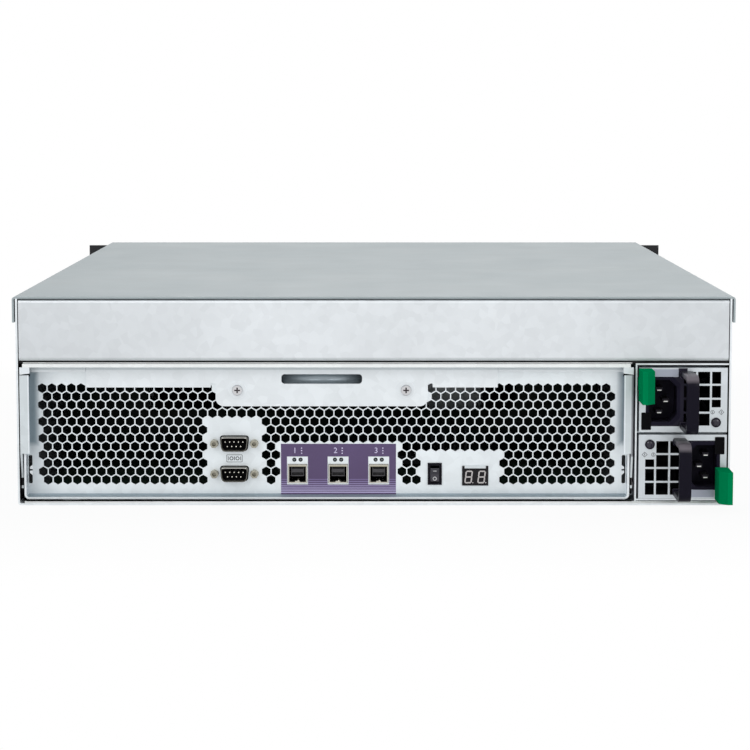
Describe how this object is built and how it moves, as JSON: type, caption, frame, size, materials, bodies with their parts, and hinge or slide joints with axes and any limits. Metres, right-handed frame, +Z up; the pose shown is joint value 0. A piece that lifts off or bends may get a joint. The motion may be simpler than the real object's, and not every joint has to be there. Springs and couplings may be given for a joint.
{
  "type": "rackmount nas server",
  "caption": "Three-unit rackmount storage enclosure seen from its rear, with a hexagon-grille controller canister, two hot-swap power modules and front drive trays.",
  "frame": {"origin": "middle of the chassis underside, half way along its depth", "axes": "+Z up; +Y from the rear rim, with its ports and power modules, to the drive trays in front; +X to the right when looking at the rear"},
  "size_m": [0.4826, 0.6505, 0.13],
  "materials": {
    "zinc_sheet": "satin zinc-plated sheet",
    "perforated_steel": "satin punched sheet",
    "cover_paint": "fine satin grey-green",
    "black_powder_coat": "fine matte",
    "steel_screw": "bright nickel",
    "connector_shell": "satin nickel",
    "circuit_laminate": "satin solder mask",
    "heatsink_aluminium": "satin extruded",
    "black_plastic": "matte moulded",
    "inlet_plastic": "matte moulded",
    "handle_plastic": "satin moulded",
    "green_plastic": "satin moulded",
    "label_film": "satin film",
    "display_lens": "gloss",
    "tray_plastic": "matte moulded"
  },
  "bodies": {
    "chassis": {"chassis_base": "zinc_sheet", "rear_top_panel": "zinc_sheet", "top_cover_front": "cover_paint", "top_cover_rear": "cover_paint", "cover_screws": "steel_screw", "bay_roof": "zinc_sheet", "power_cage": "zinc_sheet", "drive_cage": "zinc_sheet", "backplane": "circuit_laminate", "fan_wall": "zinc_sheet", "system_fan_frames": "black_plastic", "rack_ear_left": "black_powder_coat", "rack_ear_right": "black_powder_coat", "midplane": "circuit_laminate"},
    "canister": {"canister_tray": "zinc_sheet", "canister_panel": "perforated_steel", "canister_bracket": "zinc_sheet", "controller_board": "circuit_laminate", "expander_heatsink": "heatsink_aluminium", "serial_ports": "connector_shell", "serial_standoffs": "steel_screw", "sas_ports": "connector_shell", "port_label": "label_film", "id_display": "display_lens", "power_switch_housing": "black_plastic", "ejector_pins": "steel_screw"},
    "ejector_lever_left": {"ejector_left": "zinc_sheet"},
    "ejector_lever_right": {"ejector_right": "zinc_sheet"},
    "rocker": {"power_switch_rocker": "black_plastic"},
    "screw_left": {"captive_screw_left": "steel_screw"},
    "screw_right": {"captive_screw_right": "steel_screw"},
    "psu_upper": {"psu_upper_case": "zinc_sheet", "psu_upper_inlet": "inlet_plastic", "psu_upper_handle": "handle_plastic"},
    "psu_upper_release": {"psu_upper_latch": "green_plastic"},
    "psu_upper_fan": {"psu_upper_fan_rotor": "black_plastic"},
    "psu_lower": {"psu_lower_case": "zinc_sheet", "psu_lower_inlet": "inlet_plastic", "psu_lower_handle": "handle_plastic"},
    "psu_lower_release": {"psu_lower_latch": "green_plastic"},
    "psu_lower_fan": {"psu_lower_fan_rotor": "black_plastic"},
    "system_fan_1": {"system_fan_rotor_1": "black_plastic"},
    "system_fan_2": {"system_fan_rotor_2": "black_plastic"},
    "system_fan_3": {"system_fan_rotor_3": "black_plastic"},
    "drive_tray_01_body": {"drive_tray_01": "tray_plastic"},
    "drive_tray_02_body": {"drive_tray_02": "tray_plastic"},
    "drive_tray_03_body": {"drive_tray_03": "tray_plastic"},
    "drive_tray_04_body": {"drive_tray_04": "tray_plastic"},
    "drive_tray_05_body": {"drive_tray_05": "tray_plastic"},
    "drive_tray_06_body": {"drive_tray_06": "tray_plastic"},
    "drive_tray_07_body": {"drive_tray_07": "tray_plastic"},
    "drive_tray_08_body": {"drive_tray_08": "tray_plastic"},
    "drive_tray_09_body": {"drive_tray_09": "tray_plastic"},
    "drive_tray_10_body": {"drive_tray_10": "tray_plastic"},
    "drive_tray_11_body": {"drive_tray_11": "tray_plastic"},
    "drive_tray_12_body": {"drive_tray_12": "tray_plastic"},
    "drive_tray_13_body": {"drive_tray_13": "tray_plastic"},
    "drive_tray_14_body": {"drive_tray_14": "tray_plastic"},
    "drive_tray_15_body": {"drive_tray_15": "tray_plastic"},
    "drive_tray_16_body": {"drive_tray_16": "tray_plastic"}
  },
  "joints": [
    {"name": "canister_slide", "type": "slide", "parent": "chassis", "child": "canister", "axis": [0, -1, 0], "range_m": [0, 0.24]},
    {"name": "ejector_left_hinge", "type": "hinge", "parent": "canister", "child": "ejector_lever_left", "pos_m": [-0.2187, -0.284, 0.012], "axis": [1, 0, 0], "range_deg": [0, 70]},
    {"name": "ejector_right_hinge", "type": "hinge", "parent": "canister", "child": "ejector_lever_right", "pos_m": [0.1603, -0.284, 0.012], "axis": [1, 0, 0], "range_deg": [0, 70]},
    {"name": "power_switch_tilt", "type": "hinge", "parent": "canister", "child": "rocker", "pos_m": [0.0382, -0.281, 0.018], "axis": [1, 0, 0], "range_deg": [-20, 0]},
    {"name": "screw_left_slide", "type": "slide", "parent": "canister", "child": "screw_left", "axis": [0, -1, 0], "range_m": [0, 0.004]},
    {"name": "screw_right_slide", "type": "slide", "parent": "canister", "child": "screw_right", "axis": [0, -1, 0], "range_m": [0, 0.004]},
    {"name": "psu_upper_slide", "type": "slide", "parent": "chassis", "child": "psu_upper", "axis": [0, -1, 0], "range_m": [0, 0.24]},
    {"name": "psu_upper_latch_squeeze", "type": "hinge", "parent": "psu_upper", "child": "psu_upper_release", "pos_m": [0.16685, -0.286, 0.0759], "axis": [0, 0, 1], "range_deg": [0, 8], "stiffness_Nm_per_rad": 0.2},
    {"name": "psu_upper_fan_spin", "type": "hinge", "parent": "psu_upper", "child": "psu_upper_fan", "pos_m": [0.19775, -0.252, 0.0654], "axis": [0, 1, 0], "continuous": true},
    {"name": "psu_lower_slide", "type": "slide", "parent": "chassis", "child": "psu_lower", "axis": [0, -1, 0], "range_m": [0, 0.24]},
    {"name": "psu_lower_latch_squeeze", "type": "hinge", "parent": "psu_lower", "child": "psu_lower_release", "pos_m": [0.21665, -0.286, 0.0142], "axis": [0, 0, -1], "range_deg": [0, 8], "stiffness_Nm_per_rad": 0.2},
    {"name": "psu_lower_fan_spin", "type": "hinge", "parent": "psu_lower", "child": "psu_lower_fan", "pos_m": [0.18575, -0.252, 0.0247], "axis": [0, 1, 0], "continuous": true},
    {"name": "system_fan_1_spin", "type": "hinge", "parent": "chassis", "child": "system_fan_1", "pos_m": [-0.12, 0.011, 0.064], "axis": [0, 1, 0], "continuous": true},
    {"name": "system_fan_2_spin", "type": "hinge", "parent": "chassis", "child": "system_fan_2", "pos_m": [0, 0.011, 0.064], "axis": [0, 1, 0], "continuous": true},
    {"name": "system_fan_3_spin", "type": "hinge", "parent": "chassis", "child": "system_fan_3", "pos_m": [0.12, 0.011, 0.064], "axis": [0, 1, 0], "continuous": true},
    {"name": "drive_tray_01_slide", "type": "slide", "parent": "chassis", "child": "drive_tray_01_body", "axis": [0, 1, 0], "range_m": [0, 0.165]},
    {"name": "drive_tray_02_slide", "type": "slide", "parent": "chassis", "child": "drive_tray_02_body", "axis": [0, 1, 0], "range_m": [0, 0.165]},
    {"name": "drive_tray_03_slide", "type": "slide", "parent": "chassis", "child": "drive_tray_03_body", "axis": [0, 1, 0], "range_m": [0, 0.165]},
    {"name": "drive_tray_04_slide", "type": "slide", "parent": "chassis", "child": "drive_tray_04_body", "axis": [0, 1, 0], "range_m": [0, 0.165]},
    {"name": "drive_tray_05_slide", "type": "slide", "parent": "chassis", "child": "drive_tray_05_body", "axis": [0, 1, 0], "range_m": [0, 0.165]},
    {"name": "drive_tray_06_slide", "type": "slide", "parent": "chassis", "child": "drive_tray_06_body", "axis": [0, 1, 0], "range_m": [0, 0.165]},
    {"name": "drive_tray_07_slide", "type": "slide", "parent": "chassis", "child": "drive_tray_07_body", "axis": [0, 1, 0], "range_m": [0, 0.165]},
    {"name": "drive_tray_08_slide", "type": "slide", "parent": "chassis", "child": "drive_tray_08_body", "axis": [0, 1, 0], "range_m": [0, 0.165]},
    {"name": "drive_tray_09_slide", "type": "slide", "parent": "chassis", "child": "drive_tray_09_body", "axis": [0, 1, 0], "range_m": [0, 0.165]},
    {"name": "drive_tray_10_slide", "type": "slide", "parent": "chassis", "child": "drive_tray_10_body", "axis": [0, 1, 0], "range_m": [0, 0.165]},
    {"name": "drive_tray_11_slide", "type": "slide", "parent": "chassis", "child": "drive_tray_11_body", "axis": [0, 1, 0], "range_m": [0, 0.165]},
    {"name": "drive_tray_12_slide", "type": "slide", "parent": "chassis", "child": "drive_tray_12_body", "axis": [0, 1, 0], "range_m": [0, 0.165]},
    {"name": "drive_tray_13_slide", "type": "slide", "parent": "chassis", "child": "drive_tray_13_body", "axis": [0, 1, 0], "range_m": [0, 0.165]},
    {"name": "drive_tray_14_slide", "type": "slide", "parent": "chassis", "child": "drive_tray_14_body", "axis": [0, 1, 0], "range_m": [0, 0.165]},
    {"name": "drive_tray_15_slide", "type": "slide", "parent": "chassis", "child": "drive_tray_15_body", "axis": [0, 1, 0], "range_m": [0, 0.165]},
    {"name": "drive_tray_16_slide", "type": "slide", "parent": "chassis", "child": "drive_tray_16_body", "axis": [0, 1, 0], "range_m": [0, 0.165]}
  ]
}
